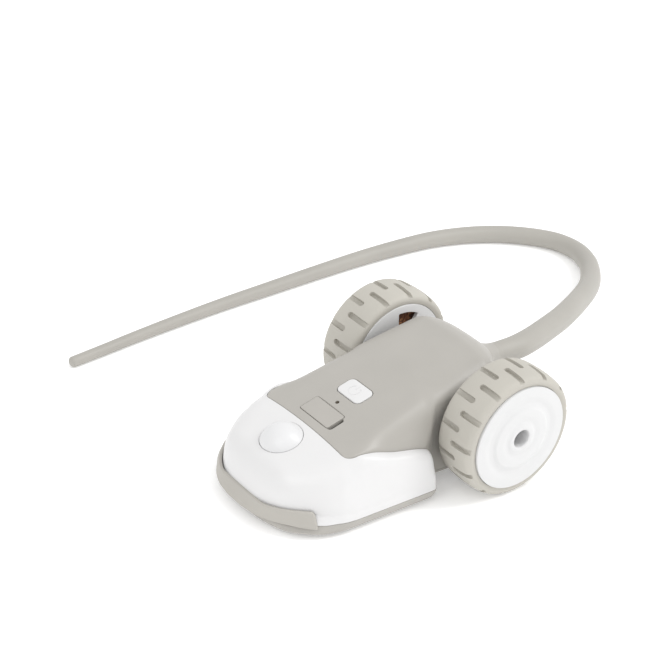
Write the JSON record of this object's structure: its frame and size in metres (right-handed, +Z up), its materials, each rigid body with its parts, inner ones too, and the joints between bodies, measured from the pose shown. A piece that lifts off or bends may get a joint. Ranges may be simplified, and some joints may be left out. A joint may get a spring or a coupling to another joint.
{
  "type": "robotic pet toy",
  "caption": "Wedge-bodied robotic mouse toy for cats on geared drive wheels, with a sensor dome, rubber-flap charging port, power button and long tapered silicone tail.",
  "frame": {"origin": "on the floor, under the middle of the body's box (body and wheels, without the tail)", "axes": "+X to the toy's left, +Y towards the tail, +Z up; the nose points along -Y"},
  "size_m": [0.1616, 0.2278, 0.045],
  "materials": {
    "body_grey": "fine matte moulded texture",
    "cover_white": "smooth semi-gloss",
    "dome_white": "milky translucent, smooth",
    "bumper_rubber": "soft matte elastomer",
    "flap_rubber": "soft matte elastomer",
    "tail_silicone": "soft matte silicone",
    "tyre_rubber": "soft matte elastomer with moulded tread",
    "hub_white": "smooth semi-gloss",
    "herb_brown": "loose dried leaf in a fine net",
    "steel": "brushed",
    "brass": "turned",
    "gear_nylon": "satin",
    "board_green": "solder mask",
    "black_plastic": "satin",
    "battery_sleeve": "shrink sleeve",
    "light_clear": "clear, dark when unlit"
  },
  "bodies": {
    "body": {"upper_shell": "body_grey", "nose_cover": "cover_white", "front_bumper": "bumper_rubber", "base_plate": "body_grey", "sensor_dome": "dome_white", "motion_sensor": "steel", "sensor_board": "board_green", "charge_socket": "steel", "button_switch": "black_plastic", "light_guide": "light_clear", "main_board": "board_green", "battery": "battery_sleeve", "roller_pin": "steel", "tail_root": "tail_silicone", "tail": "tail_silicone", "tail_clip": "black_plastic", "base_screw_front_left": "steel", "base_screw_front_right": "steel", "base_screw_rear_left": "steel", "base_screw_rear_right": "steel", "left_motor": "steel", "left_gear_pin": "steel", "left_gear_frame": "black_plastic", "left_gear_cover": "black_plastic", "left_axle_bush": "brass", "right_motor": "steel", "right_gear_pin": "steel", "right_gear_frame": "black_plastic", "right_gear_cover": "black_plastic", "right_axle_bush": "brass"},
    "port_flap": {"port_flap": "flap_rubber"},
    "power_button": {"power_button": "cover_white"},
    "switch_plunger": {"switch_plunger": "black_plastic"},
    "front_roller": {"front_roller": "hub_white"},
    "left_wheel": {"left_tyre": "tyre_rubber", "left_outer_hub": "hub_white", "left_inner_hub": "hub_white", "left_herb_pad": "herb_brown", "left_axle": "steel", "left_output_gear": "gear_nylon"},
    "left_compound_gear": {"left_compound_gear": "gear_nylon"},
    "left_motor_pinion": {"left_motor_pinion": "brass"},
    "right_wheel": {"right_tyre": "tyre_rubber", "right_outer_hub": "hub_white", "right_inner_hub": "hub_white", "right_herb_pad": "herb_brown", "right_axle": "steel", "right_output_gear": "gear_nylon"},
    "right_compound_gear": {"right_compound_gear": "gear_nylon"},
    "right_motor_pinion": {"right_motor_pinion": "brass"}
  },
  "joints": [
    {"name": "left_wheel_spin", "type": "hinge", "parent": "body", "child": "left_wheel", "pos_m": [0.0315, 0.0311, 0.0225], "axis": [1, 0, 0], "continuous": true},
    {"name": "left_compound_spin", "type": "hinge", "parent": "body", "child": "left_compound_gear", "pos_m": [0.0158, 0.02095, 0.02619], "axis": [1, 0, 0], "continuous": true},
    {"name": "left_pinion_spin", "type": "hinge", "parent": "body", "child": "left_motor_pinion", "pos_m": [0.0145, 0.01139, 0.02363], "axis": [1, 0, 0], "continuous": true},
    {"name": "right_wheel_spin", "type": "hinge", "parent": "body", "child": "right_wheel", "pos_m": [-0.0315, 0.0311, 0.0225], "axis": [1, 0, 0], "continuous": true},
    {"name": "right_compound_spin", "type": "hinge", "parent": "body", "child": "right_compound_gear", "pos_m": [-0.0158, 0.02095, 0.02619], "axis": [1, 0, 0], "continuous": true},
    {"name": "right_pinion_spin", "type": "hinge", "parent": "body", "child": "right_motor_pinion", "pos_m": [-0.0145, 0.01139, 0.02363], "axis": [1, 0, 0], "continuous": true},
    {"name": "front_roller_spin", "type": "hinge", "parent": "body", "child": "front_roller", "pos_m": [0, -0.0329, 0.0045], "axis": [1, 0, 0], "continuous": true},
    {"name": "power_button_press", "type": "slide", "parent": "body", "child": "power_button", "axis": [0, 0.2705, -0.9627], "range_m": [0, 0.0006], "stiffness_N_per_m": 300},
    {"name": "switch_plunger_press", "type": "slide", "parent": "body", "child": "switch_plunger", "axis": [0, 0.2705, -0.9627], "range_m": [0, 0.0006]},
    {"name": "port_flap_open", "type": "hinge", "parent": "body", "child": "port_flap", "pos_m": [-0.0075, -0.02047, 0.02758], "axis": [0, -0.9627, -0.2705], "range_deg": [0, 110]}
  ],
  "couplings": [
    {"joint": "left_compound_spin", "follows": "left_wheel_spin", "ratio": -2.6},
    {"joint": "left_pinion_spin", "follows": "left_wheel_spin", "ratio": 6.9333},
    {"joint": "right_compound_spin", "follows": "right_wheel_spin", "ratio": -2.6},
    {"joint": "right_pinion_spin", "follows": "right_wheel_spin", "ratio": 6.9333},
    {"joint": "switch_plunger_press", "follows": "power_button_press", "ratio": 1}
  ]
}
